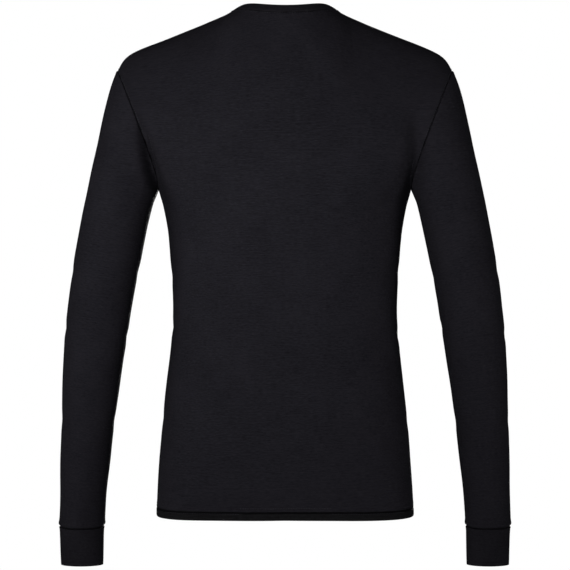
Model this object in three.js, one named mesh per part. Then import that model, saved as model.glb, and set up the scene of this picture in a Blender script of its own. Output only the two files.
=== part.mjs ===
import * as THREE from "three";

// A long-sleeved base layer top in fine jersey, filled out as when it is worn, with nobody inside.
// Millimetres, +Z up. The front faces -Y, and the wearer's left is +X.
// The origin is the middle of the neck at the height where the shoulder seams reach it,
// which is where the top hangs on its wearer.

const clothWall = 1.2; // one layer of jersey
const foldedWall = 2.2; // the hem, neck band and cuffs are folded double
const seamGap = 0.35; // between two pieces that are sewn together

// Torso: each row is a level, with half of its width at the side seams, the depth of its back
// and front from the plane of the side seams, and how square it is (0.55 is an ellipse).
const torsoLevels = [
  { z: -684, halfWidth: 174.8, back: 104, front: 106, square: 0.84 },
  { z: -638, halfWidth: 172.7, back: 101, front: 105, square: 0.78 },
  { z: -583, halfWidth: 168.6, back: 97, front: 103, square: 0.71 },
  { z: -529, halfWidth: 163.8, back: 92, front: 100, square: 0.65 },
  { z: -475, halfWidth: 157.5, back: 87, front: 99, square: 0.61 },
  { z: -420, halfWidth: 152.7, back: 84, front: 99, square: 0.59 },
  { z: -366, halfWidth: 153.4, back: 86, front: 102, square: 0.58 },
  { z: -311, halfWidth: 158.1, back: 93, front: 107, square: 0.59 },
  { z: -270, halfWidth: 164.2, back: 99, front: 111, square: 0.62 },
  { z: -240.4, halfWidth: 172.7, back: 103, front: 113, square: 0.65 },
  { z: -180, halfWidth: 190, back: 107, front: 114, square: 0.65 },
  { z: -120, halfWidth: 205, back: 103, front: 106, square: 0.65 },
  { z: -60, halfWidth: 215, back: 90, front: 84, square: 0.65 },
];
const hem = { z: -683.3, fold: 9.8, sag: 2.2 }; // it sags a little between the middle and the sides
// Near the underarm the rows sag between the side seams, and turn up at their ends.
const underarm = { sag: 25, sagFrom: -380, turnFrom: -355, turn: 50 };

// Shoulder seam, from the neck to the top of the armhole.
const shoulderLine = [
  { x: 72, z: -1.1 },
  { x: 83, z: -5.6 },
  { x: 98, z: -12.2 },
  { x: 131, z: -25.8 },
  { x: 166, z: -39.5 },
  { x: 199, z: -52.7 },
  { x: 211, z: -58.9 },
  { x: 219.5, z: -65.9 },
  { x: 225, z: -72.9 },
  { x: 228.3, z: -80 },
];

// Armhole: a leaning oval between the shoulder seam and the side seam.
const armhole = { topX: 228.3, topZ: -80, lowX: 172.7, lowZ: -240.4, halfDepth: 62 };
const armholeHollow = { back: 6, front: 9 }; // how far each half is cut in behind the oval

// Neck: the seam with the band, and the band's upper edge. lift is how fast each rises
// towards the back at the side of the neck, and frontCurve how round the scoop at the front is.
const neckSeam = {
  halfWidth: 72,
  back: 70,
  front: 78,
  backZ: -9,
  sideZ: -1.1,
  frontZ: -62,
  lift: 8,
  frontCurve: 1.6,
};
const neckEdge = {
  halfWidth: 56.5,
  back: 62,
  front: 67,
  backZ: 2.4,
  sideZ: 6.8,
  frontZ: -50,
  lift: 9.5,
  frontCurve: 1.6,
};

// Sleeve outline as seen from the front or back, with x at its outer and inner edge.
const sleeveCap = [
  { z: -80, outer: 228.3 },
  { z: -94, outer: 234 },
  { z: -121, outer: 242 },
  { z: -162, outer: 251.2 },
  { z: -216, outer: 262.9 },
];
const sleeveOutline = [
  { z: -240.4, outer: 268.2, inner: 172.7 },
  { z: -257, outer: 271.7, inner: 177.8 },
  { z: -284, outer: 277.1, inner: 184.6 },
  { z: -339, outer: 286.7, inner: 196.3 },
  { z: -393, outer: 294.3, inner: 206.6 },
  { z: -448, outer: 299.8, inner: 215.5 },
  { z: -502, outer: 302.6, inner: 223.8 },
  { z: -556, outer: 303.9, inner: 231.6 },
  { z: -611, outer: 306.2, inner: 238 },
  { z: -665, outer: 307, inner: 244.2 },
  { z: -700, outer: 308.7, inner: 246.2 },
];
// Sleeve rings: the height of each ring's outer and inner point, half of its depth, its middle's y,
// and how far its back hangs below its middle.
const sleeveRings = [
  { ring: 0, outerZ: -80, innerZ: -240.4, halfDepth: 62, y: 0, drop: 0 },
  { ring: 4, outerZ: -168, innerZ: -257, halfDepth: 59.5, y: 1, drop: 0 },
  { ring: 8, outerZ: -258, innerZ: -277, halfDepth: 55, y: 2, drop: 0 },
  { ring: 13, outerZ: -376, innerZ: -388, halfDepth: 48.5, y: 2, drop: 0 },
  { ring: 18, outerZ: -498, innerZ: -505, halfDepth: 43, y: -1, drop: 0 },
  { ring: 23, outerZ: -623, innerZ: -626, halfDepth: 36.5, y: -9, drop: 0.4 },
  { ring: 26, outerZ: -700.4, innerZ: -700.4, halfDepth: 33.5, y: -16, drop: 2 },
];
const cuff = { topInset: 0.9, endZ: -753.6, endInset: 1.5, endDepth: 30.5, endY: -21 };

// How finely each piece is divided.
const bodyRows = 16;
const armholeRows = 12;
const lowerArmholeRows = 6;
const neckSteps = { back: 6, front: 8 };
const shoulderSteps = 8;
const sleeveColumns = 2 * armholeRows;
const sleeveRingCount = 26;
const fanRings = 8;
const cornerLean = 26; // degrees, of the column that ends at the corner between neck and shoulder
const fullness = { back: 1, front: 0.85 }; // how far the yoke swells before it meets the top seams

const vec = (x, y, z) => new THREE.Vector3(x, y, z);
const mix = (a, b, t) => a + (b - a) * t;
const ease = (t) => {
  const c = Math.min(1, Math.max(0, t));
  return c * c * (3 - 2 * c);
};

// A natural cubic spline through one column of a table.
function splineOf(table, key, column) {
  const rows = [...table].sort((a, b) => a[key] - b[key]);
  const x = rows.map((r) => r[key]);
  const y = rows.map((r) => r[column]);
  const last = x.length - 1;
  const bend = new Array(last + 1).fill(0);
  const carry = new Array(last + 1).fill(0);
  for (let i = 1; i < last; i++) {
    const share = (x[i] - x[i - 1]) / (x[i + 1] - x[i - 1]);
    const pivot = share * bend[i - 1] + 2;
    const turn = (y[i + 1] - y[i]) / (x[i + 1] - x[i]) - (y[i] - y[i - 1]) / (x[i] - x[i - 1]);
    bend[i] = (share - 1) / pivot;
    carry[i] = ((6 * turn) / (x[i + 1] - x[i - 1]) - share * carry[i - 1]) / pivot;
  }
  for (let i = last - 1; i > 0; i--) bend[i] = bend[i] * bend[i + 1] + carry[i];
  bend[0] = 0;
  bend[last] = 0;
  return (at) => {
    let i = 0;
    while (i < last - 1 && at > x[i + 1]) i++;
    const h = x[i + 1] - x[i];
    const b = (at - x[i]) / h;
    const a = 1 - b;
    return a * y[i] + b * y[i + 1] + (((a ** 3 - a) * bend[i] + (b ** 3 - b) * bend[i + 1]) * h * h) / 6;
  };
}

// Points spaced evenly along a fine polyline.
function spaceEvenly(points, steps) {
  const reach = [0];
  for (let i = 1; i < points.length; i++) reach.push(reach[i - 1] + points[i].distanceTo(points[i - 1]));
  const spaced = [];
  let i = 1;
  for (let k = 0; k <= steps; k++) {
    const want = (reach[reach.length - 1] * k) / steps;
    while (i < points.length - 1 && reach[i] < want) i++;
    const share = (want - reach[i - 1]) / (reach[i] - reach[i - 1]);
    spaced.push(points[i - 1].clone().lerp(points[i], share));
  }
  return spaced;
}

function bezierPoints(a, b, c, d, fineness) {
  return new THREE.CubicBezierCurve3(a, b, c, d).getPoints(fineness);
}

const halfWidthAt = splineOf(torsoLevels, "z", "halfWidth");
const squareAt = splineOf(torsoLevels, "z", "square");
const depthAt = { back: splineOf(torsoLevels, "z", "back"), front: splineOf(torsoLevels, "z", "front") };
const shoulderZ = splineOf(shoulderLine, "x", "z");
const sleeveOuterX = splineOf([...sleeveCap, ...sleeveOutline], "z", "outer");
const sleeveInnerX = splineOf(sleeveOutline, "z", "inner");
const ringValue = {};
for (const column of ["outerZ", "innerZ", "halfDepth", "y", "drop"]) {
  ringValue[column] = splineOf(sleeveRings, "ring", column);
}

// A point of the neck seam or of the band's edge. turn is 0 at the back and pi at the front.
function neckPoint(neck, turn) {
  const c = Math.cos(turn);
  const drop = neck.sideZ + (c > 0 ? neck.lift - neck.backZ : -neck.lift - neck.frontZ);
  return vec(
    neck.halfWidth * Math.sin(turn),
    (c > 0 ? neck.back : neck.front) * c,
    neck.sideZ + neck.lift * c - drop * Math.abs(c) ** (c > 0 ? 2 : neck.frontCurve),
  );
}

// The way round the neck seam, from the back to the front on the wearer's left.
function alongNeck(turn) {
  const step = 1e-3;
  return neckPoint(neckSeam, turn + step).sub(neckPoint(neckSeam, turn - step)).normalize();
}

// A point of the armhole on the wearer's left. climb goes from 0 at the side seam to pi at the shoulder seam.
function armholePoint(side, climb) {
  const sign = side === "back" ? 1 : -1;
  const c = Math.cos(climb);
  const s = Math.sin(climb);
  return vec(
    mix(armhole.topX, armhole.lowX, (1 + c) / 2) - armholeHollow[side] * s * (1 + 0.35 * c),
    sign * armhole.halfDepth * s,
    mix(armhole.topZ, armhole.lowZ, (1 + c) / 2),
  );
}

// The way out of the body across the armhole seam.
function acrossArmhole(climb) {
  const lean = THREE.MathUtils.degToRad(-18 + 29 * Math.cos(climb));
  return vec(Math.cos(lean), 0, Math.sin(lean));
}

// The way up the body across the neck seam, inwards and upwards.
function acrossNeck(turn) {
  const s = Math.sin(turn);
  const c = Math.cos(turn);
  const inward = vec(-s, -c, 0);
  const steep = mix(c > 0 ? 0.91 : 0.88, 0.43, s * s);
  return inward.multiplyScalar(Math.sqrt(1 - steep * steep)).add(vec(0, 0, steep));
}

// Half of a row below the underarm, from the middle of the panel to the side seam.
function bodyRow(side, level, steps) {
  const sign = side === "back" ? 1 : -1;
  const turned = ease((level - underarm.turnFrom) / (armhole.lowZ - underarm.turnFrom));
  const sag = underarm.sag * ease((level - underarm.sagFrom) / (armhole.lowZ - underarm.sagFrom));
  const climb = THREE.MathUtils.degToRad(underarm.turn * turned);
  const flare = (halfWidthAt(level) - halfWidthAt(level - 8)) / 8;
  const along = vec(flare * Math.sin(climb), -sign * Math.cos(climb), Math.sin(climb)).normalize();
  const mid = vec(0, sign * depthAt[side](level - sag), level - sag);
  const end = vec(halfWidthAt(level), 0, level);
  const handle = squareAt(level) * depthAt[side](level) * mix(1, 0.9, turned);
  const before = end.clone().addScaledVector(along, -handle);
  const after = mid.clone().add(vec(squareAt(level) * end.x, 0, -hem.sag * Math.exp((hem.z - level) / 40)));
  return spaceEvenly(bezierPoints(mid, after, before, end, 80), steps);
}

// Half of a row that ends on the lower part of the armhole.
function armholeRow(side, number, midZ, steps) {
  const sign = side === "back" ? 1 : -1;
  const climb = (Math.PI * number) / armholeRows;
  const end = armholePoint(side, climb);
  const mid = vec(0, sign * depthAt[side](midZ), midZ);
  const low = Math.max(0, Math.cos(climb));
  const high = Math.max(0, -Math.cos(climb));
  const along = vec(0.33 * low + 0.75 * high, -sign * 0.62 * low, 0.75 * low - 0.66 * high);
  along.addScaledVector(vec(0.93, -sign * 0.36, -0.03), Math.sin(climb)).normalize();
  const square = squareAt(armhole.lowZ);
  const handle = mix(square * depthAt[side](armhole.lowZ) * 0.9, 58, Math.sin(climb));
  const after = mid.clone().add(vec(mix(square * armhole.lowX, 98, Math.sin(climb)), 0, 0));
  const before = end.clone().addScaledVector(along, -handle);
  return spaceEvenly(bezierPoints(mid, after, before, end, 80), steps);
}

// The top of a half panel: along the neck seam, then along the shoulder seam.
function topRow(side) {
  const points = [];
  const steps = neckSteps[side];
  for (let j = 0; j < steps; j++) {
    const quarter = (Math.PI / 2) * (j / steps);
    points.push(neckPoint(neckSeam, side === "back" ? quarter : Math.PI - quarter));
  }
  const seam = [];
  for (let k = 0; k <= 60; k++) {
    const x = mix(neckSeam.halfWidth, armhole.topX, k / 60);
    seam.push(vec(x, 0, shoulderZ(x)));
  }
  seam[0].z = neckSeam.sideZ;
  seam[60].z = armhole.topZ;
  return [...points, ...spaceEvenly(seam, shoulderSteps)];
}

// Rows of half a panel from the hem to the shoulder, each from the middle out to the wearer's left.
function halfPanel(side) {
  const sign = side === "back" ? 1 : -1;
  const steps = neckSteps[side] + shoulderSteps;
  const corner = neckSteps[side];
  const rows = [];
  const firstFull = hem.z + hem.fold + 0.8;
  for (const level of [hem.z, hem.z + hem.fold]) rows.push(bodyRow(side, level, steps));
  for (let i = 0; i < bodyRows; i++) {
    rows.push(bodyRow(side, mix(firstFull, armhole.lowZ, i / bodyRows), steps));
  }
  const top = topRow(side);
  const lowMidZ = armhole.lowZ - underarm.sag;
  const midZ = (k) => mix(lowMidZ, top[0].z, k / armholeRows);
  for (let k = 0; k <= lowerArmholeRows; k++) rows.push(armholeRow(side, k, midZ(k), steps));

  // Above the lower armhole, each column runs on smoothly and arrives along the surface at the seam:
  // straight over the shoulder, or leaning to the middle next to the corner of the neck.
  const start = rows[rows.length - 1];
  const under = rows[rows.length - 2];
  const left = armholeRows - lowerArmholeRows;
  const leave = start.map((p, j) => p.clone().sub(under[j]).multiplyScalar(left));
  const arrive = start.map((p, j) => {
    const turn = (Math.PI / 2) * Math.min(1, j / corner);
    const neckTurn = side === "back" ? turn : Math.PI - turn;
    const beside = top[Math.min(j + 1, steps)].clone().sub(top[Math.max(j - 1, corner)]);
    const tilt = (neckSeam.lift / neckSeam.back) * (1 - ease((j - corner) / 6));
    const facing = j <= corner
      ? acrossNeck(neckTurn).cross(alongNeck(neckTurn))
      : vec(-beside.z, -tilt * beside.x, beside.x);
    const fan = j < corner ? (j / corner) ** 1.5 : 1 - ease((j - corner) / 4);
    const lean = THREE.MathUtils.degToRad(cornerLean * fan);
    const way = vec(-Math.sin(lean), -sign * Math.cos(lean), 0);
    way.z = -(facing.x * way.x + facing.y * way.y) / facing.z;
    return way.normalize().multiplyScalar(fullness[side] * p.distanceTo(top[j]));
  });
  for (let k = 1; k <= left; k++) {
    const t = k / left;
    const row = start.map((p, j) =>
      vec(0, 0, 0)
        .addScaledVector(p, 2 * t ** 3 - 3 * t ** 2 + 1)
        .addScaledVector(leave[j], t ** 3 - 2 * t ** 2 + t)
        .addScaledVector(top[j], 3 * t ** 2 - 2 * t ** 3)
        .addScaledVector(arrive[j], t ** 3 - t ** 2),
    );
    const end = armholePoint(side, (Math.PI * (lowerArmholeRows + k)) / armholeRows);
    const miss = end.sub(row[steps]);
    row.forEach((p, j) => p.addScaledVector(miss, (j / steps) ** 3));
    rows.push(row);
  }
  return rows;
}

// Outward normal of a grid of points whose columns run to the right and rows run up, seen from outside.
function gridNormals(rows, around) {
  return rows.map((row, i) =>
    row.map((_, j) => {
      const next = around ? (j + 1) % row.length : Math.min(j + 1, row.length - 1);
      const before = around ? (j + row.length - 1) % row.length : Math.max(j - 1, 0);
      const along = row[next].clone().sub(row[before]);
      const up = rows[Math.min(i + 1, rows.length - 1)][j].clone().sub(rows[Math.max(i - 1, 0)][j]);
      return along.cross(up).normalize();
    }),
  );
}

// Inner side of a wall. borders gives, at a seam, the ways out of the piece that its inner edge may not go.
function innerRows(rows, around, thickness, borders) {
  const normals = gridNormals(rows, around);
  return rows.map((row, i) =>
    row.map((p, j) => {
      const inward = normals[i][j].clone().multiplyScalar(-thickness(i));
      for (const way of borders(i, j)) {
        const past = inward.dot(way);
        if (past > 0) inward.addScaledVector(way, -past);
      }
      return p.clone().add(inward);
    }),
  );
}

function geometryOf(points, triangles) {
  const geometry = new THREE.BufferGeometry();
  geometry.setAttribute("position", new THREE.Float32BufferAttribute(points.flatMap((p) => p.toArray()), 3));
  geometry.setIndex(triangles);
  geometry.computeVertexNormals();
  return geometry;
}

// Faces between loops of points, each quad cut along its shorter diagonal.
// The last loop joins the first, and around closes each loop on itself.
function loopFaces(loops, around) {
  const columns = loops[0].length;
  const points = loops.flat();
  const triangles = [];
  for (let k = 0; k < loops.length; k++) {
    const up = (k + 1) % loops.length;
    for (let j = 0; j < columns - (around ? 0 : 1); j++) {
      const right = (j + 1) % columns;
      const a = k * columns + j;
      const b = k * columns + right;
      const c = up * columns + right;
      const d = up * columns + j;
      const rising = points[a].distanceTo(points[c]) < points[b].distanceTo(points[d]);
      if (rising) triangles.push(a, b, c, a, c, d);
      else triangles.push(a, b, d, b, c, d);
    }
  }
  return triangles;
}

// A panel: its outer rows, its inner rows and the edges between them.
function panelGeometry(outer, inner) {
  const loops = [...outer, ...[...inner].reverse()];
  const triangles = loopFaces(loops, false);
  const columns = outer[0].length;
  const last = loops.length - 1;
  for (let i = 0; i < outer.length - 1; i++) {
    for (const [j, flip] of [[0, false], [columns - 1, true]]) {
      const a = i * columns + j;
      const b = (i + 1) * columns + j;
      const c = (last - i - 1) * columns + j;
      const d = (last - i) * columns + j;
      if (flip) triangles.push(a, c, b, a, d, c);
      else triangles.push(a, b, c, a, c, d);
    }
  }
  return geometryOf(loops.flat(), triangles);
}

// A tube or ring whose loops go up its outside and down its inside.
function ringGeometry(loops) {
  return geometryOf(loops.flat(), loopFaces(loops, true));
}

function torsoPanel(side) {
  const sign = side === "back" ? 1 : -1;
  const steps = neckSteps[side] + shoulderSteps;
  const rows = halfPanel(side).map((half) => {
    const wearersLeft = half.map((p) => p.clone().add(vec(0, (sign * seamGap) / 2, 0)));
    const wearersRight = wearersLeft.slice(1).map((p) => vec(-p.x, p.y, p.z));
    const row = [...wearersRight.reverse(), ...wearersLeft];
    return side === "back" ? row.reverse() : row;
  });
  const firstArmholeRow = rows.length - 1 - armholeRows;
  const overSeam = vec(0, -sign, 0);
  const borders = (i, j) => {
    const ways = [];
    const fromMiddle = Math.abs(j - steps);
    const mirror = (j > steps) === (side === "back") ? vec(-1, 1, 1) : vec(1, 1, 1);
    if (fromMiddle === steps && i >= firstArmholeRow) {
      ways.push(acrossArmhole((Math.PI * (i - firstArmholeRow)) / armholeRows).multiply(mirror));
    }
    if (fromMiddle === steps && i <= firstArmholeRow) ways.push(overSeam);
    if (i === rows.length - 1) {
      const corner = neckSteps[side];
      if (fromMiddle >= corner) ways.push(overSeam);
      if (fromMiddle <= corner) {
        const turn = (Math.PI / 2) * (fromMiddle / corner);
        ways.push(acrossNeckSeam(side === "back" ? turn : Math.PI - turn).multiply(mirror));
      }
    }
    return ways;
  };
  const thickness = (i) => (i < 2 ? foldedWall : clothWall);
  return panelGeometry(rows, innerRows(rows, false, thickness, borders));
}

// The way from the body to the neck band, halfway between the two surfaces.
function acrossNeckSeam(turn) {
  const band = neckPoint(neckEdge, turn).sub(neckPoint(neckSeam, turn)).normalize();
  return band.add(acrossNeck(turn)).normalize();
}

function sleeveRing(number) {
  const outerZ = ringValue.outerZ(number);
  const innerZ = ringValue.innerZ(number);
  const outer = vec(sleeveOuterX(outerZ), ringValue.y(number), outerZ);
  const inner = vec(sleeveInnerX(innerZ), ringValue.y(number), innerZ);
  const middle = outer.clone().add(inner).multiplyScalar(0.5);
  const reach = outer.clone().sub(inner).multiplyScalar(0.5);
  const fade = 1 - ease(number / fanRings);
  const ring = [];
  for (let j = 0; j < sleeveColumns; j++) {
    const angle = (2 * Math.PI * j) / sleeveColumns;
    const side = j <= armholeRows ? "back" : "front";
    const climb = Math.abs(Math.PI - angle);
    const hollow = armholeHollow[side] * Math.sin(climb) * (1 + 0.35 * Math.cos(climb));
    const point = middle.clone().addScaledVector(reach, Math.cos(angle));
    const drop = ringValue.drop(number) * Math.sin(angle);
    point.add(vec(-hollow * fade, ringValue.halfDepth(number) * Math.sin(angle), -drop));
    if (number === 0) point.addScaledVector(acrossArmhole(climb), seamGap);
    ring.push(point);
  }
  return ring;
}

function sleeve() {
  const rows = [];
  for (let number = sleeveRingCount; number >= 0; number--) rows.push(sleeveRing(number));
  const borders = (i, j) => {
    if (i === rows.length - 1) {
      const climb = Math.abs(Math.PI - (2 * Math.PI * j) / sleeveColumns);
      return [acrossArmhole(climb).negate()];
    }
    return i === 0 ? [vec(0, 0, -1)] : [];
  };
  const inner = innerRows(rows, true, () => clothWall, borders);
  return ringGeometry([...rows, ...inner.reverse()]);
}

// Neck band: a folded strip that stands on the neck seam and leans in.
function neckBand() {
  const section = [
    { up: 0, proud: 0.2, inside: 0 },
    { up: 0.35, proud: 0.9, inside: 0 },
    { up: 0.75, proud: 0.8, inside: 0 },
    { up: 0.97, proud: -0.1, inside: 0.12 },
    { up: 1.02, proud: -0.3, inside: 0.5 },
    { up: 0.97, proud: -0.1, inside: 0.9 },
    { up: 0.6, proud: 0.5, inside: 1 },
    { up: 0, proud: 0.2, inside: 1 },
  ];
  const turns = [];
  for (let j = 0; j < neckSteps.back; j++) turns.push((Math.PI / 2) * (j / neckSteps.back));
  for (let j = 0; j <= neckSteps.front; j++) turns.push((Math.PI / 2) * (1 + j / neckSteps.front));
  const half = turns.map((turn) => {
    const low = neckPoint(neckSeam, turn).addScaledVector(acrossNeckSeam(turn), seamGap);
    const high = neckPoint(neckEdge, turn);
    const up = high.clone().sub(low);
    const outward = up.clone().cross(alongNeck(turn)).normalize();
    const seamInward = acrossNeckSeam(turn).cross(alongNeck(turn)).normalize().negate();
    return section.map(({ up: share, proud, inside }) => {
      const inward = seamInward.clone().lerp(outward.clone().negate(), Math.min(1, share * 2));
      const point = low.clone().addScaledVector(up, share).addScaledVector(outward, proud);
      return point.addScaledVector(inward.normalize(), inside * foldedWall);
    });
  });
  const mirrored = half.slice(1, -1).reverse().map((points) => points.map((p) => vec(-p.x, p.y, p.z)));
  const columns = [...half, ...mirrored].reverse();
  return ringGeometry(section.map((_, k) => columns.map((points) => points[k])));
}

// Cuff: a folded tube below the sleeve's last ring, a little narrower than the sleeve.
function cuffBand() {
  const top = sleeveRing(sleeveRingCount);
  const middle = vec((top[0].x + top[armholeRows].x) / 2, ringValue.y(sleeveRingCount), 0);
  const halfWidth = (top[0].x - top[armholeRows].x) / 2;
  const endWide = 1 - (cuff.endInset + cuff.topInset) / halfWidth;
  const endDeep = cuff.endDepth / ringValue.halfDepth(sleeveRingCount);
  const section = [
    { down: 1, inset: 1.1 },
    { down: 0.99, inset: 0.3 },
    { down: 0.96, inset: 0 },
    { down: 0.5, inset: 0 },
    { down: 0.1, inset: 0 },
    { down: 0, inset: 0.1 },
    { down: 0, inset: foldedWall },
    { down: 0.5, inset: foldedWall },
    { down: 0.99, inset: foldedWall },
  ];
  const loops = section.map(({ down, inset }) =>
    top.map((p) => {
      const out = vec((p.x - middle.x) * mix(1, endWide, down), (p.y - middle.y) * mix(1, endDeep, down), 0);
      const away = out.clone().normalize();
      const stepIn = cuff.topInset * (1 - down) * Math.min(1, down * 10);
      out.addScaledVector(away, -stepIn - inset);
      const z = mix(p.z - seamGap, cuff.endZ, down);
      return vec(middle.x + out.x, mix(middle.y, cuff.endY, down) + out.y, z);
    }),
  );
  return ringGeometry(loops);
}

const jersey = new THREE.MeshStandardMaterial({ color: 0x1b1a1e, roughness: 0.92, metalness: 0 });
const bandJersey = new THREE.MeshStandardMaterial({ color: 0x171619, roughness: 0.94, metalness: 0 });

const top = new THREE.Group();

function addPiece(name, geometry, material, mirrored) {
  const mesh = new THREE.Mesh(geometry, material);
  mesh.name = name;
  if (mirrored) mesh.scale.x = -1;
  top.add(mesh);
}

addPiece("back_panel", torsoPanel("back"), jersey);
addPiece("front_panel", torsoPanel("front"), jersey);
addPiece("neck_band", neckBand(), bandJersey);
for (const [name, mirrored] of [["left", false], ["right", true]]) {
  addPiece(name + "_sleeve", sleeve(), jersey, mirrored);
  addPiece(name + "_cuff", cuffBand(), bandJersey, mirrored);
}

export default top;
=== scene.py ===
import math

import bmesh
import bpy
import numpy as np
from mathutils import Matrix, Vector, noise
from mathutils.bvhtree import BVHTree
from mathutils.kdtree import KDTree


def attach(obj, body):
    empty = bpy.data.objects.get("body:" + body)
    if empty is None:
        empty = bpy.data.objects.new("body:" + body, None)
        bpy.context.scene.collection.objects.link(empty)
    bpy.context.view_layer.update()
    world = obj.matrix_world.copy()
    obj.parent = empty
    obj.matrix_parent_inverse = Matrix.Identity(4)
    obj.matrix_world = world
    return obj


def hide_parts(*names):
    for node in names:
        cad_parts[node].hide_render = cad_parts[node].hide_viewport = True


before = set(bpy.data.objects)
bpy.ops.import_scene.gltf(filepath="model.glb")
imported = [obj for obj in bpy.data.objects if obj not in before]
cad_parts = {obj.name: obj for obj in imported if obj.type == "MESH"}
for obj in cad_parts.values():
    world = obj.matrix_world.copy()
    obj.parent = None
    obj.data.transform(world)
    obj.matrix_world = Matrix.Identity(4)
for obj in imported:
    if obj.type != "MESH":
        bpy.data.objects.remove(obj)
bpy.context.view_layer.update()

# A black base layer top in fine jersey, seen from behind, filled out with nobody inside.
# Metres. The back is +Y, the wearer's left +X.

photo = {
    "pixels": 570,  # the picture is square
    "pixelSize": 0.00136,  # what one pixel spans in the plane of the side seams
    "distance": 3.4,
    "height": -0.372,  # level with the middle of the top
    "sensor": 36.0,
}


def makeCamera():
    data = bpy.data.cameras.new("photoCamera")
    data.sensor_width = photo["sensor"]
    data.lens = photo["sensor"] * photo["distance"] / (photo["pixels"] * photo["pixelSize"])
    camera = bpy.data.objects.new("photoCamera", data)
    camera.location = (0, photo["distance"], photo["height"])
    camera.rotation_euler = (math.pi / 2, 0, math.pi)
    bpy.context.collection.objects.link(camera)
    bpy.context.scene.camera = camera


studio = {
    "background": (1.0, 1.0, 1.0),
    "shownStrength": 1.0,  # what the camera sees behind the top
    "lightStrength": 0.08,  # what falls on the cloth from all round
    "floorHeight": -1.05,
    "floorRadius": 2.4,
    "floorCorners": 96,
    "floorColour": (0.86, 0.86, 0.86),
    "floorRoughness": 0.9,
}
# Each soft light: name, where it stands, what it is aimed at, its width, its spread in degrees, its watts.
lamps = [
    ("backLamp", (0.2, 2.6, -0.35), (0.05, 0.1, -0.15), 0.8, 50, 2.0),
    ("lowLamp", (1.0, 2.3, -0.75), (0.1, 0.1, -0.12), 0.8, 50, 3.4),
    ("leftLamp", (3.0, 0.6, -0.4), (0.2, 0, -0.05), 1.2, 60, 3.4),
    ("rightLamp", (-3.0, 0.8, -0.2), (-0.2, 0, -0.2), 1.2, 100, 5.8),
    ("frontLamp", (-0.4, -2.6, -0.1), (0, -0.1, -0.2), 0.8, 60, 6.0),
]


# The camera sees the white background, and the cloth gets only a little light from it.
def makeWorld():
    world = bpy.data.worlds.new("studioWorld")
    world.use_nodes = True
    tree = world.node_tree
    shown = tree.nodes["Background"]
    shown.inputs["Color"].default_value = (*studio["background"], 1)
    shown.inputs["Strength"].default_value = studio["shownStrength"]
    falling = tree.nodes.new("ShaderNodeBackground")
    falling.inputs["Color"].default_value = (*studio["background"], 1)
    falling.inputs["Strength"].default_value = studio["lightStrength"]
    rays = tree.nodes.new("ShaderNodeLightPath")
    either = tree.nodes.new("ShaderNodeMixShader")
    tree.links.new(rays.outputs["Is Camera Ray"], either.inputs["Fac"])
    tree.links.new(falling.outputs["Background"], either.inputs[1])
    tree.links.new(shown.outputs["Background"], either.inputs[2])
    tree.links.new(either.outputs["Shader"], tree.nodes["World Output"].inputs["Surface"])
    bpy.context.scene.world = world
    bpy.context.scene.view_settings.view_transform = "Standard"


def makeLamps():
    for name, place, aim, size, spread, watts in lamps:
        data = bpy.data.lights.new(name, "AREA")
        data.shape = "DISK"
        data.size = size
        data.spread = math.radians(spread)
        data.energy = watts
        light = bpy.data.objects.new(name, data)
        light.location = place
        light.visible_camera = False
        away = Vector(aim) - Vector(place)
        light.rotation_euler = away.to_track_quat("-Z", "Y").to_euler()
        bpy.context.collection.objects.link(light)


def objectOf(shape, name):
    mesh = bpy.data.meshes.new(name)
    shape.to_mesh(mesh)
    shape.free()
    piece = bpy.data.objects.new(name, mesh)
    bpy.context.collection.objects.link(piece)
    return piece


# The floor gives its own light only to the camera.
def makeFloor():
    shape = bmesh.new()
    bmesh.ops.create_circle(
        shape,
        cap_ends=True,
        segments=studio["floorCorners"],
        radius=studio["floorRadius"],
        matrix=Matrix.Translation((0, 0, studio["floorHeight"])),
    )
    floor = objectOf(shape, "floor")
    material = bpy.data.materials.new("floorPaper")
    material.use_nodes = True
    shader = material.node_tree.nodes["Principled BSDF"]
    shader.inputs["Base Color"].default_value = (*studio["floorColour"], 1)
    shader.inputs["Roughness"].default_value = studio["floorRoughness"]
    shader.inputs["Emission Color"].default_value = (*studio["floorColour"], 1)
    rays = material.node_tree.nodes.new("ShaderNodeLightPath")
    material.node_tree.links.new(rays.outputs["Is Camera Ray"], shader.inputs["Emission Strength"])
    floor.data.materials.append(material)


def ease(t):
    t = np.clip(t, 0.0, 1.0)
    return t * t * (3 - 2 * t)


# Knit. The cloth map is in metres: across is along the courses, along is up the piece.
knit = {
    "dark": (0.0048, 0.0044, 0.0060),
    "light": (0.0177, 0.0168, 0.0209),
    "fleck": (0.034, 0.032, 0.039),
    "roughness": 0.9,
    "specular": 0.03,
    "darkToLight": (0.3, 0.7),  # of the noises together
    "noneToMostFleck": (0.66, 0.8),  # of the streaks
    "mostFleck": 0.6,
    "wale": 0.0011,  # width of one knitted stitch
    "course": 0.0009,  # and its height
    "waleRelief": 0.3,
    "courseRelief": 0.2,
    "streakRelief": 1.2,
    "bump": 0.25,
    "bumpDistance": 0.0002,
}
# Its noises: how many to the metre, across and along, how fine, and how much each counts.
knitNoises = {
    "streaks": {"across": 190.0, "along": 680.0, "detail": 3, "roughness": 0.6, "share": 0.6},
    "longStreaks": {"across": 44.0, "along": 400.0, "detail": 2, "roughness": 0.5, "share": 0.25},
    "patches": {"across": 16.0, "along": 16.0, "detail": 2, "roughness": 0.5, "share": 0.15},
}
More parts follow.
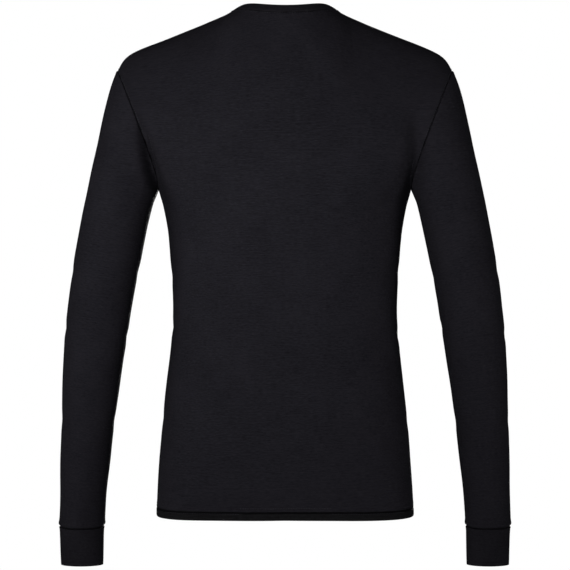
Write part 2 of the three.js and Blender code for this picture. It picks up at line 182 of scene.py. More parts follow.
# Its materials: a tone of 1 is one layer, but the seam and hem shade tones are painted shade; grey takes the
# blue out of the colour.
knitLooks = {
    "jerseyKnit": {"tone": 1.0, "grey": 0.0},
    "foldedJerseyKnit": {"tone": 0.88, "grey": 0.1},
    # painted shade in the seams
    "seamPaintedShadeKnit": {"tone": 0.5, "grey": 0.2},
    "hemJerseyKnit": {"tone": 0.60, "grey": 0.6},
    # painted shade in the groove above the hem
    "hemShadeKnit": {"tone": 0.24, "grey": 0.4},
    # thread lighter than the cloth, partly a painted highlight on the seam ridges
    "threadWithPaintedHighlight": {"tone": 2.8, "grey": 0.2},
}


def addNode(tree, kind, **inputs):
    node = tree.nodes.new(kind)
    for name, value in inputs.items():
        node.inputs[name].default_value = value
    return node


def knitMaterial(name, tone, grey):
    def toned(colour):
        mean = sum(colour) / 3
        return tuple(tone * (v + (mean - v) * grey) for v in colour)

    material = bpy.data.materials.new(name)
    material.use_nodes = True
    tree = material.node_tree
    links = tree.links
    shader = tree.nodes["Principled BSDF"]
    shader.inputs["Roughness"].default_value = knit["roughness"]
    shader.inputs["Specular IOR Level"].default_value = knit["specular"]
    clothMap = tree.nodes.new("ShaderNodeUVMap")
    clothMap.uv_map = "clothMap"

    def noiseOf(layer):
        mapping = addNode(tree, "ShaderNodeMapping", Scale=(layer["across"], layer["along"], 1))
        texture = addNode(tree, "ShaderNodeTexNoise", Scale=1.0, Detail=layer["detail"])
        texture.inputs["Roughness"].default_value = layer["roughness"]
        links.new(clothMap.outputs["UV"], mapping.inputs["Vector"])
        links.new(mapping.outputs["Vector"], texture.inputs["Vector"])
        return texture.outputs["Fac"]

    def rangeOf(source, low, high, toHigh):
        spread = tree.nodes.new("ShaderNodeMapRange")
        spread.inputs["From Min"].default_value = low
        spread.inputs["From Max"].default_value = high
        spread.inputs["To Min"].default_value = 0
        spread.inputs["To Max"].default_value = toHigh
        links.new(source, spread.inputs["Value"])
        return spread.outputs["Result"]

    def calculate(operation, first, second):
        node = tree.nodes.new("ShaderNodeMath")
        node.operation = operation
        for place, value in enumerate((first, second)):
            if isinstance(value, (int, float)):
                node.inputs[place].default_value = value
            else:
                links.new(value, node.inputs[place])
        return node.outputs["Value"]

    def blend(amount, first, second):
        mix = tree.nodes.new("ShaderNodeMix")
        mix.data_type = "RGBA"
        links.new(amount, mix.inputs["Factor"])
        for place, value in ((6, first), (7, second)):  # the colours' own sockets
            if isinstance(value, tuple):
                mix.inputs[place].default_value = (*value, 1)
            else:
                links.new(value, mix.inputs[place])
        return mix.outputs[2]

    fields = {kind: noiseOf(layer) for kind, layer in knitNoises.items()}
    streaks = fields["streaks"]
    counted = [calculate("MULTIPLY", fields[kind], knitNoises[kind]["share"]) for kind in fields]
    together = calculate("ADD", calculate("ADD", counted[0], counted[1]), counted[2])
    tint = rangeOf(together, *knit["darkToLight"], 1)
    ground = blend(tint, toned(knit["dark"]), toned(knit["light"]))
    flecks = rangeOf(streaks, *knit["noneToMostFleck"], knit["mostFleck"])
    links.new(blend(flecks, ground, toned(knit["fleck"])), shader.inputs["Base Color"])

    # Stitches: narrow ribs up the piece, crossed by the courses.
    split = tree.nodes.new("ShaderNodeSeparateXYZ")
    links.new(clothMap.outputs["UV"], split.inputs["Vector"])
    ribs = calculate("SINE", calculate("MULTIPLY", split.outputs["X"], 2 * math.pi / knit["wale"]), 0)
    rows = calculate("SINE", calculate("MULTIPLY", split.outputs["Y"], 2 * math.pi / knit["course"]), 0)
    ribRelief = calculate("MULTIPLY", ribs, knit["waleRelief"])
    rowRelief = calculate("MULTIPLY", rows, knit["courseRelief"])
    streakRelief = calculate("MULTIPLY", streaks, knit["streakRelief"])
    height = calculate("ADD", calculate("ADD", ribRelief, rowRelief), streakRelief)
    bump = addNode(tree, "ShaderNodeBump", Strength=knit["bump"], Distance=knit["bumpDistance"])
    links.new(height, bump.inputs["Height"])
    links.new(bump.outputs["Normal"], shader.inputs["Normal"])
    return material


# What each node is; pieces of one kind are made alike.
kinds = {
    "back_panel": "panel",
    "front_panel": "panel",
    "left_sleeve": "sleeve",
    "right_sleeve": "sleeve",
    "neck_band": "band",
    "left_cuff": "cuff",
    "right_cuff": "cuff",
}
# Body: half of its width and depth, for the directions in which the cloth faces.
body = {
    "halfWidth": 0.185,
    "halfDepth": 0.1,
    "yokeFrom": -0.13,  # above this the cloth turns over the shoulders
    "yokeHeight": 0.12,
    "inside": (0, 0, -0.35),  # a point in the middle of it
}
# Sleeve's middle line on the wearer's left, seen from behind: height, x and y.
sleeveLine = [
    (-0.15, 0.214, 0.0),
    (-0.257, 0.2247, 0.001),
    (-0.339, 0.2415, 0.002),
    (-0.448, 0.2577, 0.0),
    (-0.556, 0.2678, -0.005),
    (-0.665, 0.2756, -0.013),
    (-0.754, 0.277, -0.021),
]
leanOver = 0.02  # its lean is taken between this far above and below
neck = {"depth": 0.9, "rise": 0.8}  # how much the neck band faces backwards, and upwards


def unit(vectors):
    return vectors / np.linalg.norm(vectors, axis=1, keepdims=True)


# The ways in which each kind of piece faces, for many points at once.
def outOfBody(p):
    up = np.maximum(0, p[:, 2] - body["yokeFrom"]) / body["yokeHeight"] ** 2
    return unit(np.column_stack((p[:, 0] / body["halfWidth"] ** 2, p[:, 1] / body["halfDepth"] ** 2, up)))


def sleeveMiddle(z):
    heights, xs, ys = np.array(sleeveLine)[::-1].T
    z = np.minimum(z, sleeveLine[0][0])
    lean = (np.interp(z + leanOver, heights, xs) - np.interp(z - leanOver, heights, xs)) / (2 * leanOver)
    return np.interp(z, heights, xs), np.interp(z, heights, ys), lean


def outOfSleeve(p):
    x, y, lean = sleeveMiddle(p[:, 2])
    side = np.sign(p[:, 0])
    rise = np.maximum(0, p[:, 2] - sleeveLine[0][0])
    return unit(np.column_stack((p[:, 0] - side * x, p[:, 1] - y, rise - lean * (np.abs(p[:, 0]) - x))))


def outOfNeck(p):
    up = neck["rise"] * np.hypot(p[:, 0], p[:, 1])
    return unit(np.column_stack((p[:, 0], p[:, 1] * neck["depth"], up)))


outOf = {"panel": outOfBody, "hem": outOfBody, "sleeve": outOfSleeve, "cuff": outOfSleeve, "band": outOfNeck}

# Cloth maps: the way round each piece at about its own radius, and the way up it.
maps = {
    "bodyRadius": 0.148,
    "yokeDepth": 0.095,  # cloth nearer to the middle than this has turned over the shoulders
    "yokeFrom": -0.16,
    "yokeHeight": 0.09,
    "yokeShare": 0.55,
    "sleeveRadius": 0.046,
    "rightSleeve": 0.5,  # the right sleeve's map lies beside the left one's
    "neckRadius": 0.065,
    "neckHeight": 1.1,
    "neckDepth": 0.3,
}


def bodyMap(p):
    side = np.sign(p[:, 1].mean())
    angle = np.arctan2(p[:, 0] / body["halfWidth"], side * p[:, 1] / body["halfDepth"])
    atYoke = ease((p[:, 2] - maps["yokeFrom"]) / maps["yokeHeight"])
    turnedOver = np.maximum(0.0, maps["yokeDepth"] - np.abs(p[:, 1])) * atYoke
    return np.column_stack((angle * maps["bodyRadius"], p[:, 2] + maps["yokeShare"] * turnedOver))


def sleeveMap(p):
    x, y, lean = sleeveMiddle(p[:, 2])
    across = np.arctan2(p[:, 1] - y, np.abs(p[:, 0]) - x) * maps["sleeveRadius"]
    across = across + maps["rightSleeve"] * (p[:, 0] < 0)
    return np.column_stack((across, p[:, 2] + lean * (np.abs(p[:, 0]) - x)))


def neckMap(p):
    across = np.arctan2(p[:, 0], p[:, 1]) * maps["neckRadius"]
    along = p[:, 2] * maps["neckHeight"] + maps["neckDepth"] * np.hypot(p[:, 0], p[:, 1])
    return np.column_stack((across, along))


# From a solid of the frame to cloth: its triangles are joined to quads, lines of points are laid beside the
# cut edges and above the hem's stitches, and the whole is made smooth.
cut = {
    "merged": 1e-5,  # points nearer than this are one
    "quadAngle": 60,  # degrees: the most that two triangles of a quad turn
    "quadShape": 120,  # and the most that the quad is out of square
    "rimAngle": 50,  # edges that turn more are the cut edges of the cloth
    "besideRim": (0.0068, 0.0042, 0.0018),  # lines of points this far inside each cut edge
    "besideMost": 0.5,  # but not past this share of an edge
    "aboveHem": 0.0035,  # and above the stitches of the hem
    "aboveHemLeast": 0.004,  # on edges that rise more than this
    "hemBelow": -0.67,
    "hemStitchRise": (0.0006, 0.0011),  # the short edges at the stitches of the hem rise so much
    "levels": 2,
    "pulls": 2,  # how often the rough form is corrected
    "pull": 0.9,
    "yokeFrom": -0.17,  # the cloth is eased over the shoulders from here up
    "yokeSteps": 16,
    "yokeFactor": 0.5,
    "facingOut": 0.5,  # the outer face of a piece faces out by more than this
}


def mergedCopy(node):
    shape = bmesh.new()
    shape.from_mesh(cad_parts[node].data)
    bmesh.ops.remove_doubles(shape, verts=shape.verts, dist=cut["merged"])
    return shape


def addLineBeside(shape, points, away, upwards=False):
    shares = {}
    for edge in shape.edges:
        first, second = edge.verts
        if (first in points) == (second in points):
            continue
        start, end = (first, second) if first in points else (second, first)
        if upwards and end.co.z - start.co.z < cut["aboveHemLeast"]:
            continue
        share = min(cut["besideMost"], away / edge.calc_length())
        shares[edge] = share if start is first else 1 - share
    bmesh.ops.subdivide_edges(
        shape,
        edges=list(shares),
        cuts=1,
        edge_percents=shares,
        quad_corner_type="INNER_VERT",
        use_grid_fill=True,
    )


def rimsOf(shape):
    return [e for e in shape.edges if e.calc_face_angle(0) > math.radians(cut["rimAngle"])]


def aboveHemStitches(shape):
    least, most = cut["hemStitchRise"]
    points = set()
    for edge in shape.edges:
        low, high = sorted(edge.verts, key=lambda v: v.co.z)
        if high.co.z < cut["hemBelow"] and least < high.co.z - low.co.z < most:
            points.add(high)
    return points


# The cloth goes through the points of the solid: the points that smoothing would pull in start further out.
def smoothThrough(shape, name):
    rough = objectOf(shape, name + "Rough")
    smooth = rough.modifiers.new("smooth", "SUBSURF")
    smooth.levels = cut["levels"]
    smooth.render_levels = cut["levels"]
    wanted = [v.co.copy() for v in rough.data.vertices]
    for step in range(cut["pulls"]):
        shown = rough.evaluated_get(bpy.context.evaluated_depsgraph_get()).data
        for vertex, place in zip(rough.data.vertices, wanted):
            vertex.co += (place - shown.vertices[vertex.index].co) * cut["pull"]
        rough.data.update()
    mesh = bpy.data.meshes.new_from_object(rough.evaluated_get(bpy.context.evaluated_depsgraph_get()))
    mesh.name = name
    bpy.data.objects.remove(rough)
    piece = bpy.data.objects.new(name, mesh)
    bpy.context.collection.objects.link(piece)
    mesh.shade_smooth()
    return piece


def clothFrom(node, name):
    shape = mergedCopy(node)
    bmesh.ops.join_triangles(
        shape,
        faces=shape.faces,
        angle_face_threshold=math.radians(cut["quadAngle"]),
        angle_shape_threshold=math.radians(cut["quadShape"]),
    )
    threes = sum(len(f.verts) == 3 for f in shape.faces)
    print(name, "copied:", len(shape.faces), "faces,", threes, "of them triangles")
    rimPoints = {v for e in rimsOf(shape) for v in e.verts}
    if kinds[node] == "panel":
        yoke = [v for v in shape.verts if v not in rimPoints and v.co.z > cut["yokeFrom"]]
        for step in range(cut["yokeSteps"]):
            bmesh.ops.smooth_vert(shape, verts=yoke, factor=cut["yokeFactor"], use_axis_y=True)
    stitchPoints = aboveHemStitches(shape)
    for away in cut["besideRim"]:
        addLineBeside(shape, rimPoints, away)
    addLineBeside(shape, stitchPoints, cut["aboveHem"], upwards=True)
    creases = shape.edges.layers.float.new("crease_edge")
    for edge in rimsOf(shape):
        edge[creases] = 1
    return smoothThrough(shape, name)


def pointsOf(piece):
    points = np.empty(len(piece.data.vertices) * 3)
    piece.data.vertices.foreach_get("co", points)
    return points.reshape(-1, 3)


def setPoints(piece, points):
    piece.data.vertices.foreach_set("co", points.ravel())
    piece.data.update()


def giveMap(piece, mapOf):
    layer = piece.data.uv_layers.new(name="clothMap")
    corners = np.empty(len(piece.data.loops), dtype=np.int32)
    piece.data.loops.foreach_get("vertex_index", corners)
    layer.data.foreach_set("uv", mapOf(pointsOf(piece))[corners].ravel())


# Cut edges: the lines round the outside of each piece, and which piece each point of them is sewn to.
sewing = {
    "step": 0.0005,  # how closely the cut edges are followed
    "touch": 0.0016,  # edges nearer than this are sewn together
    "closed": 1.2,  # share of the gap that is closed from each side, so that the pieces overlap a little
    "closedWithin": 0.002,  # the cloth this near to a seam moves with its edge, less and less
    "underarm": -0.205,  # below this the armhole seam lies flatter
    "underarmReach": 0.03,
    "underarmFlatness": 0.8,
    "hemFrom": -0.6,  # a panel's free edge below this is its hem
    "shaded": 0.0011,  # the cloth this near to a seam lies in its shade
    "hemBand": 0.0096,  # height of the hem
    "hemShaded": 0.0118,  # and of the shaded groove above it
}
# Height of the cloth (second) at each distance from the cut edge (first), both in millimetres, for each kind
# of piece and what it is sewn to.
seamShapes = {
    ("panel", "sleeve"): [
        (0, -2.6), (0.35, -2.2), (0.9, -0.4), (1.7, 0.5), (2.9, 0.45), (3.8, -0.5), (5.2, 0.2), (7, 0),
    ],
    ("sleeve", "panel"): [(0, -2.6), (0.35, -2.2), (1.0, -0.3), (2.2, 0.2), (4.5, 0)],
    ("panel", "panel"): [(0, -1.2), (0.5, -0.8), (1.2, 0), (2.2, 0.15), (4, 0)],
    ("panel", "band"): [
        (0, -2.2), (0.4, -1.6), (0.9, 0), (1.7, 0.6), (2.7, 0.5), (3.4, -0.4), (4.8, 0.15), (6.5, 0),
    ],
    ("band", "panel"): [(0, -2.2), (0.5, -1.4), (1.2, -0.1), (2.0, 0.2), (4, 0)],
    ("sleeve", "cuff"): [(0, -2.6), (1.0, -1.3), (2.2, 0.2), (3.6, 0.8), (9, 0)],
    ("cuff", "sleeve"): [(0, -2.6), (0.4, -2.5), (0.9, -0.7), (1.6, 0), (3, 0.15), (7, 0)],
    ("panel", "hem"): [
        (0, -0.5), (0.8, 0), (8.2, 0.3), (9.2, 0.2), (9.7, -2.4), (10.4, -2.8), (11.6, -2.0), (13, -0.6),
        (15, 0.3), (19, 0.5), (26, 0),
    ],
}


# The faces of a solid between its cut edges, where they face outwards.
def outerFaces(shape, rims, kind):
    outer = set()
    left = set(shape.faces)
    while left:
        todo = [left.pop()]
        region = list(todo)
        while todo:
            for edge in todo.pop().edges:
                if edge in rims:
                    continue
                for face in edge.link_faces:
                    if face in left:
                        left.discard(face)
                        region.append(face)
                        todo.append(face)
        middles = np.array([f.calc_center_median() for f in region])
        normals = np.array([f.normal * f.calc_area() for f in region])
        area = sum(f.calc_area() for f in region)
        if (outOf[kind](middles) * normals).sum() / area > cut["facingOut"]:
            outer.update(region)
    return outer


def walk(unused, start):
    chain = [start]
    while True:
        onward = [e for e in chain[-1].link_edges if e in unused]
        if not onward:
            return chain
        del unused[onward[0]]
        chain.append(onward[0].other_vert(chain[-1]))


def evenly(points, step):
    lengths = np.linalg.norm(np.diff(points, axis=0), axis=1)
    run = np.concatenate(([0], np.cumsum(lengths)))
    wanted = np.linspace(0, run[-1], max(2, round(run[-1] / step)))
    return np.column_stack([np.interp(wanted, run, points[:, k]) for k in range(3)])


def cutLines(node):
    shape = mergedCopy(node)
    shape.normal_update()
    rims = set(rimsOf(shape))
    outer = outerFaces(shape, rims, kinds[node])
    # A dictionary keeps the order of the edges, so the lines start at the same place each time.
    unused = {e: True for e in shape.edges if e in rims and sum(f in outer for f in e.link_faces) == 1}
    lines = []
    while unused:
        edge = next(iter(unused))
        del unused[edge]
        first, second = edge.verts
        chain = walk(unused, first)[:0:-1] + [first] + walk(unused, second)
        lines.append(evenly(np.array([v.co for v in chain]), sewing["step"]))
    shape.free()
    return lines


def treeOf(points):
    tree = KDTree(len(points))
    for number, point in enumerate(points):
        tree.insert(point, number)
    tree.balance()
    return tree


# A closed line starts where one seam ends, so that no row of stitches is broken.
def startAtSeamEnd(line):
    points, sewnTo = line["points"], line["sewnTo"]
    if np.linalg.norm(points[0] - points[-1]) > sewing["step"]:
        return line
    start = int(np.argmax(sewnTo != np.roll(sewnTo, 1)))
    return {name: np.roll(values[:-1], -start, axis=0) for name, values in line.items()}


# For each node: its cut lines, what each point is sewn to, and the way to it.
def matchSeams():
    lines = {node: cutLines(node) for node in kinds}
    trees = {node: treeOf(np.concatenate(lines[node])) for node in kinds}
    matched = {}
    for node in kinds:
        matched[node] = []
        for points in lines[node]:
            sewnTo, towards = [], []
            for point in points:
                found = [(trees[other].find(point), other) for other in kinds if other != node]
                nearest, other = min(found, key=lambda f: f[0][2])
                sewn = nearest[2] < sewing["touch"]
                hem = kinds[node] == "panel" and point[2] < sewing["hemFrom"]
                sewnTo.append(kinds[other] if sewn else "hem" if hem else "free")
                towards.append(nearest[0] - Vector(point) if sewn else Vector())
            line = {"points": points, "sewnTo": np.array(sewnTo), "towards": np.array(towards)}
            matched[node].append(startAtSeamEnd(line))
    return matched


def sewEdges(piece, node, matched):
    lines = matched[node]
    points = np.concatenate([line["points"] for line in lines])
    sewnTo = np.concatenate([line["sewnTo"] for line in lines])
    towards = np.concatenate([line["towards"] for line in lines])
    kept = sewnTo != "free"
    tree = treeOf(points[kept])
    places = pointsOf(piece)
    found = [tree.find(p)[1:] for p in places]
    number = np.array([f[0] for f in found])
    away = np.array([f[1] for f in found])
    nearTo = sewnTo[kept][number]
    close = 1 - ease(away / sewing["closedWithin"])
    moved = places + towards[kept][number] * (close * sewing["closed"])[:, None]
    for other in sorted(set(nearTo)):
        here = nearTo == other
        distances, heights = np.array(seamShapes[(kinds[node], other)]).T / 1000
        out = unit(outOf[kinds[node]](places[here]) + outOf[other](places[here]))
        height = np.interp(away[here], distances, heights)
        if {kinds[node], other} == {"panel", "sleeve"}:
            below = ease((sewing["underarm"] - places[here][:, 2]) / sewing["underarmReach"])
            height *= 1 - sewing["underarmFlatness"] * below
        moved[here] += out * height[:, None]
    setPoints(piece, moved)
    return away, nearTo


# Folds and hollows. Each runs on one side of the top between two points of it (x and z on the back and the
# front, y and z on the outer sides), is so wide and deep, and bows sideways by so much. The depth of a
# ridge is negative. Columns: side, start, end, width, depth, bow.
folds = [
    # the back: long soft troughs beside the spine
    ("back", (0.019, -0.20), (0.017, -0.46), 0.0070, 0.0020, 0.002),
    ("back", (-0.012, -0.26), (-0.016, -0.43), 0.0055, 0.0010, -0.002),
    ("back", (0.053, -0.31), (0.043, -0.52), 0.0090, 0.0012, 0.004),
    ("back", (-0.050, -0.21), (-0.046, -0.39), 0.0075, 0.0009, -0.003),
    ("back", (-0.086, -0.36), (-0.074, -0.55), 0.0100, 0.0012, 0.004),
    ("back", (0.092, -0.40), (0.098, -0.56), 0.0100, 0.0009, -0.004),
    # the back: the drag from the underarms
    ("back", (0.166, -0.232), (0.104, -0.335), 0.0085, 0.0019, 0.008),
    ("back", (0.170, -0.262), (0.128, -0.405), 0.0100, 0.0014, 0.006),
    ("back", (-0.160, -0.222), (-0.096, -0.300), 0.0085, 0.0022, -0.008),
    ("back", (-0.168, -0.268), (-0.122, -0.428), 0.0105, 0.0014, -0.007),
    # the back: waist and hem
    ("back", (0.148, -0.455), (0.086, -0.492), 0.0110, 0.0012, 0.004),
    ("back", (-0.150, -0.440), (-0.078, -0.486), 0.0120, 0.0012, -0.004),
    ("back", (0.150, -0.640), (0.040, -0.650), 0.0085, -0.0016, 0.003),
    ("back", (-0.012, -0.632), (-0.094, -0.646), 0.0085, -0.0010, -0.003),
    # the back: the cloth lies fuller over the shoulder blades
    ("back", (0.097, -0.040), (0.100, -0.086), 0.0140, -0.0014, 0.0),
    ("back", (-0.097, -0.040), (-0.100, -0.086), 0.0140, -0.0014, 0.0),
    # hollows beside the lower armholes, at the back and at the front
    ("back", (0.1900, -0.150), (0.1680, -0.256), 0.0088, 0.0165, 0.002),
    ("back", (-0.176, -0.150), (-0.168, -0.262), 0.0120, 0.0160, -0.002),
    ("front", (0.183, -0.180), (0.177, -0.258), 0.0090, 0.0090, 0.001),
    ("front", (-0.185, -0.178), (-0.177, -0.260), 0.0085, 0.0095, 0.001),
    # the front: from the neckline and the underarms
    ("front", (0.040, -0.085), (0.066, -0.215), 0.0110, 0.0013, 0.006),
    ("front", (-0.036, -0.090), (-0.058, -0.190), 0.0100, 0.0012, -0.005),
    ("front", (0.162, -0.228), (0.098, -0.318), 0.0085, 0.0022, 0.008),
    ("front", (-0.164, -0.232), (-0.110, -0.345), 0.0095, 0.0020, -0.007),
    ("front", (0.168, -0.270), (0.126, -0.425), 0.0105, 0.0014, 0.006),
    ("front", (-0.170, -0.262), (-0.130, -0.398), 0.0100, 0.0013, -0.006),
    # the front: long troughs over the belly, waist and hem
    ("front", (0.014, -0.225), (0.012, -0.470), 0.0080, 0.0015, -0.003),
    ("front", (-0.030, -0.290), (-0.024, -0.520), 0.0085, 0.0012, 0.004),
    ("front", (0.070, -0.360), (0.080, -0.560), 0.0105, 0.0012, -0.005),
    ("front", (-0.088, -0.330), (-0.082, -0.500), 0.0095, 0.0010, 0.004),
    ("front", (0.150, -0.448), (0.080, -0.488), 0.0120, 0.0013, 0.005),
    ("front", (-0.148, -0.462), (-0.090, -0.494), 0.0110, 0.0011, -0.004),
    ("front", (0.120, -0.640), (0.030, -0.662), 0.0075, 0.0014, 0.003),
    ("front", (-0.050, -0.646), (-0.136, -0.660), 0.0070, 0.0012, -0.002),
    # the sleeves from behind: below the underarm, at the elbow and above the cuff
    ("back", (0.198, -0.235), (0.232, -0.300), 0.0080, 0.0016, -0.004),
    ("back", (0.215, -0.318), (0.262, -0.352), 0.0085, 0.0010, 0.004),
    ("back", (0.236, -0.425), (0.282, -0.404), 0.0080, 0.0013, -0.004),
    ("back", (0.238, -0.452), (0.276, -0.462), 0.0070, 0.0010, 0.003),
    ("back", (0.250, -0.560), (0.292, -0.585), 0.0090, 0.0009, 0.004),
    ("back", (0.255, -0.660), (0.296, -0.672), 0.0065, 0.0010, -0.002),
    ("back", (-0.200, -0.240), (-0.238, -0.290), 0.0085, 0.0014, 0.004),
    ("back", (-0.222, -0.336), (-0.258, -0.380), 0.0090, 0.0011, -0.004),
    ("back", (-0.238, -0.436), (-0.284, -0.418), 0.0080, 0.0012, 0.004),
    ("back", (-0.242, -0.468), (-0.274, -0.484), 0.0070, 0.0010, -0.003),
    ("back", (-0.254, -0.590), (-0.290, -0.604), 0.0090, 0.0009, 0.003),
    ("back", (-0.256, -0.668), (-0.290, -0.662), 0.0065, 0.0010, 0.002),
    # the sleeves from the front: the inside of the elbow folds most
    ("front", (0.196, -0.238), (0.236, -0.286), 0.0085, 0.0016, 0.004),
    ("front", (0.228, -0.392), (0.276, -0.372), 0.0075, 0.0018, 0.004),
    ("front", (0.232, -0.424), (0.282, -0.432), 0.0070, 0.0022, -0.003),
    ("front", (0.240, -0.470), (0.276, -0.448), 0.0080, 0.0014, 0.003),
    ("front", (0.250, -0.575), (0.290, -0.556), 0.0090, 0.0010, 0.003),
    ("front", (0.256, -0.664), (0.294, -0.674), 0.0065, 0.0010, 0.002),
    ("front", (-0.198, -0.242), (-0.240, -0.294), 0.0085, 0.0015, -0.004),
    ("front", (-0.226, -0.384), (-0.272, -0.402), 0.0075, 0.0017, 0.003),
    ("front", (-0.234, -0.430), (-0.284, -0.420), 0.0070, 0.0021, 0.004),
    ("front", (-0.240, -0.456), (-0.278, -0.476), 0.0080, 0.0014, -0.003),
    ("front", (-0.252, -0.565), (-0.292, -0.590), 0.0090, 0.0010, 0.003),
    ("front", (-0.255, -0.672), (-0.292, -0.664), 0.0065, 0.0010, 0.002),
    # the outer sides of the sleeves
    ("left", (0.030, -0.330), (-0.030, -0.380), 0.0090, 0.0011, 0.004),
    ("left", (0.034, -0.440), (-0.030, -0.425), 0.0080, 0.0014, -0.003),
    ("left", (0.020, -0.540), (-0.036, -0.570), 0.0090, 0.0009, 0.003),
    ("right", (0.032, -0.345), (-0.030, -0.372), 0.0090, 0.0011, -0.004),
    ("right", (0.030, -0.430), (-0.034, -0.448), 0.0080, 0.0014, 0.003),
    ("right", (0.018, -0.560), (-0.036, -0.545), 0.0090, 0.0009, 0.003),
]
# Which way a fold of each side goes in: along x (0) or y (1), and from which end.
sides = {"back": (1, 1.0), "front": (1, -1.0), "left": (0, 1.0), "right": (0, -1.0)}
foldShape = {
    "sideReach": 0.03,  # back and front folds come up over this distance from the middle of the sides
    "outerFrom": 0.02,  # the sleeves' outer folds come up where the cloth faces outwards, from here on
    "outerReach": 0.3,
    "bank": 0.3,  # how far the cloth beside a fold rises, as a share of its depth
    "bankWidth": 2.2,  # and how wide this is, as a share of its width
    "endShare": 0.08,  # folds run out at both ends
    "middleShare": 0.84,
    "endPower": 0.8,
}
ripple = {"size": 0.045, "height": 0.0005}  # the small unevenness of cloth that only hangs
# The back and the front draw in towards the groove above the hem, by this depth and more where the cloth
# folds over it. Columns of the folds: where across (x), how far along, how much deeper.
hemTuck = {"depth": 0.0030, "line": -0.6675, "reach": 0.021, "facing": 0.6}
hemFolds = {
    "back": [(0.098, 0.050, 0.0065), (-0.060, 0.044, 0.0035)],
    "front": [(0.074, 0.046, 0.0045), (-0.092, 0.040, 0.0055)],
}


# How much of each side's folds each point gets. Where pieces are sewn together they move alike.
def foldSides(places, kind, outs):
    middle = sleeveMiddle(places[:, 2])[1] if kind in ("sleeve", "cuff") else 0.0
    backwards = (places[:, 1] - middle) / foldShape["sideReach"]
    return {
        "back": ease(backwards),
        "front": ease(-backwards),
        "left": ease((outs[:, 0] - foldShape["outerFrom"]) / foldShape["outerReach"]),
        "right": ease((-outs[:, 0] - foldShape["outerFrom"]) / foldShape["outerReach"]),
    }


def foldDepth(flat, facing, start, end, width, depth, bow):
    first, line = np.array(start), np.array(end) - np.array(start)
    share = np.clip((flat - first) @ line / (line @ line), 0, 1)
    sideways = np.array((-line[1], line[0])) / np.linalg.norm(line)
    run = first + share[:, None] * line + (4 * bow * share * (1 - share))[:, None] * sideways
    reach = np.linalg.norm(flat - run, axis=1) / width
    bank = foldShape["bank"] * np.exp(-((reach / foldShape["bankWidth"]) ** 2))
    turn = np.pi * (foldShape["endShare"] + foldShape["middleShare"] * share)
    along = np.sin(turn) ** foldShape["endPower"]
    return depth * (np.exp(-reach**2) - bank) * facing * along


def hemDepth(places, outs):
    side = "back" if outs[:, 1].mean() > 0 else "front"
    depth = hemTuck["depth"] + sum(
        deeper * np.exp(-(((places[:, 0] - x) / along) ** 2)) for x, along, deeper in hemFolds[side]
    )
    above = ease(1 - (places[:, 2] - hemTuck["line"]) / hemTuck["reach"])
    return np.sign(outs[:, 1]) * ease(np.abs(outs[:, 1]) / hemTuck["facing"]) * depth * above


def foldCloth(piece, kind, outs):
    places = pointsOf(piece)
    moved = places.copy()
    facing = foldSides(places, kind, outs)
    for side, *shape in folds:
        axis, sign = sides[side]
        moved[:, axis] -= sign * foldDepth(places[:, [1 - axis, 2]], facing[side], *shape)
    if kind == "panel":
        moved[:, 1] -= hemDepth(places, outs)
    waves = np.array([noise.noise(Vector(p) / ripple["size"]) for p in places])
    moved += outs * (waves * ripple["height"])[:, None]
    setPoints(piece, moved)


# Stitches: rows of short threads laid on the back and the front, this far from the cut edge at each seam.
stitchRows = {"hem": 0.0132, "sleeve": 0.0023, "band": 0.0022}
thread = {
    "length": 0.0026,
    "width": 0.0008,
    "height": 0.0004,
    "gap": 0.0034,  # from one stitch to the next
    "lift": 0.0001,
    "searchFrom": 0.003,  # the outer face of the cloth is looked for from this far outside
    "leastRun": 20,  # points of a cut line: a shorter stretch gets no row
}


def surfaceOf(mesh):
    return BVHTree.FromPolygons([v.co for v in mesh.vertices], [p.vertices for p in mesh.polygons])


def layStitches(shape, surface, places, outs):
    size = Matrix.Diagonal((thread["length"] / 2, thread["width"] / 2, thread["height"] / 2, 1))
    for before, place, after, out in zip(places, places[1:], places[2:], outs[1:]):
        spot, normal = surface.find_nearest(Vector(place) + Vector(out) * thread["searchFrom"])[:2]
        run = Vector(after) - Vector(before)
        run = (run - normal * run.dot(normal)).normalized()
        turn = Matrix((run, normal.cross(run), normal)).transposed().to_4x4()
        where = Matrix.Translation(spot + normal * thread["lift"])
        bmesh.ops.create_icosphere(shape, subdivisions=1, radius=1, matrix=where @ turn @ size)


def runsOf(line, other):
    here = line["sewnTo"] == other
    breaks = np.flatnonzero(np.diff(here.astype(int))) + 1
    runs = np.split(np.arange(len(here)), breaks)
    return [run for run in runs if here[run[0]] and len(run) > thread["leastRun"]]


def rowBeside(places, outs, away):
    inwards = unit(np.cross(outs, np.gradient(places, axis=0)))
    inwards -= outs * (inwards * outs).sum(axis=1, keepdims=True)
    if ((np.array(body["inside"]) - places) * inwards).sum() < 0:
        inwards = -inwards
    return evenly(places + inwards * away, thread["gap"])


def sewPanel(name, piece, lines):
    shape = bmesh.new()
    surface = surfaceOf(piece.data)
    for other, away in stitchRows.items():
        for line in lines:
            for run in runsOf(line, other):
                places = line["points"][run]
                row = rowBeside(places, unit(outOfBody(places) + outOf[other](places)), away)
                layStitches(shape, surface, row, unit(outOfBody(row)))
    for face in shape.faces:
        face.smooth = True
    stitches = objectOf(shape, name)
    stitches.data.uv_layers.new(name="clothMap")
    # the thread's light tone is partly a painted highlight on the seam ridges
    stitches.data.materials.append(materials["threadWithPaintedHighlight"])
    return stitches


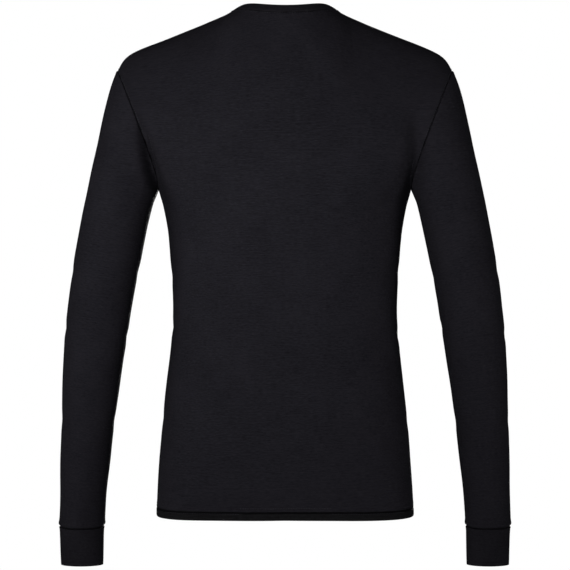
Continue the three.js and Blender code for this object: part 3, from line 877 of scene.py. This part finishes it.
# Each cloth piece: its node, its cloth map, what shows of it laid flat, and the area of that if it is no
# rectangle. A panel also has its stitches.
cloth = [
    {"node": "back_panel", "name": "backPanel", "map": bodyMap, "flat": (0.50, 0.70), "area": 0.30,
     "stitches": "backStitches"},
    {"node": "front_panel", "name": "frontPanel", "map": bodyMap, "flat": (0.51, 0.68), "area": 0.29,
     "stitches": "frontStitches"},
    {"node": "left_sleeve", "name": "leftSleeve", "map": sleeveMap, "flat": (0.40, 0.62), "area": 0.15},
    {"node": "right_sleeve", "name": "rightSleeve", "map": sleeveMap, "flat": (0.40, 0.62), "area": 0.15},
    {"node": "neck_band", "name": "neckBand", "map": neckMap, "flat": (0.42, 0.018)},
    {"node": "left_cuff", "name": "leftCuff", "map": sleeveMap, "flat": (0.195, 0.053)},
    {"node": "right_cuff", "name": "rightCuff", "map": sleeveMap, "flat": (0.195, 0.053)},
]


# The piece's own knit, a darker one on the hem, and painted shade in the seams and in the groove above the
# hem.
def giveKnit(piece, kind, away, nearTo):
    own = "jerseyKnit" if kind in ("panel", "sleeve") else "foldedJerseyKnit"
    for name in (own, "seamPaintedShadeKnit", "hemJerseyKnit", "hemShadeKnit"):
        piece.data.materials.append(materials[name])
    for face in piece.data.polygons:
        near = away[list(face.vertices)].mean()
        if nearTo[face.vertices[0]] == "hem":
            # on the hem its own darker knit, and above it the painted shade of the groove
            face.material_index = 2 if near < sewing["hemBand"] else 3 if near < sewing["hemShaded"] else 0
        else:
            # cloth right beside a seam gets the painted seam shade
            face.material_index = 1 if near < sewing["shaded"] else 0


def makePiece(part, seams):
    node = part["node"]
    kind = kinds[node]
    piece = clothFrom(node, part["name"])
    giveMap(piece, part["map"])
    outs = outOf[kind](pointsOf(piece))
    away, nearTo = sewEdges(piece, node, seams)
    foldCloth(piece, kind, outs)
    giveKnit(piece, kind, away, nearTo)
    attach(piece, "root")
    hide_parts(node)
    print(part["name"], "made,", len(piece.data.polygons), "faces")
    return piece


makeCamera()
makeWorld()
makeLamps()
makeFloor()
materials = {name: knitMaterial(name, **look) for name, look in knitLooks.items()}
seams = matchSeams()
for node, lines in seams.items():
    sewnTo = np.concatenate([line["sewnTo"] for line in lines])
    print(node, "is sewn to", {str(k): int((sewnTo == k).sum()) for k in sorted(set(sewnTo))})
pieces = {part["name"]: makePiece(part, seams) for part in cloth}

for part in cloth:
    piece = pieces[part["name"]]
    if "stitches" in part:
        stitches = sewPanel(part["stitches"], piece, seams[part["node"]])
        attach(stitches, "root")
        print(part["stitches"], "sewn,", len(stitches.data.polygons), "faces")
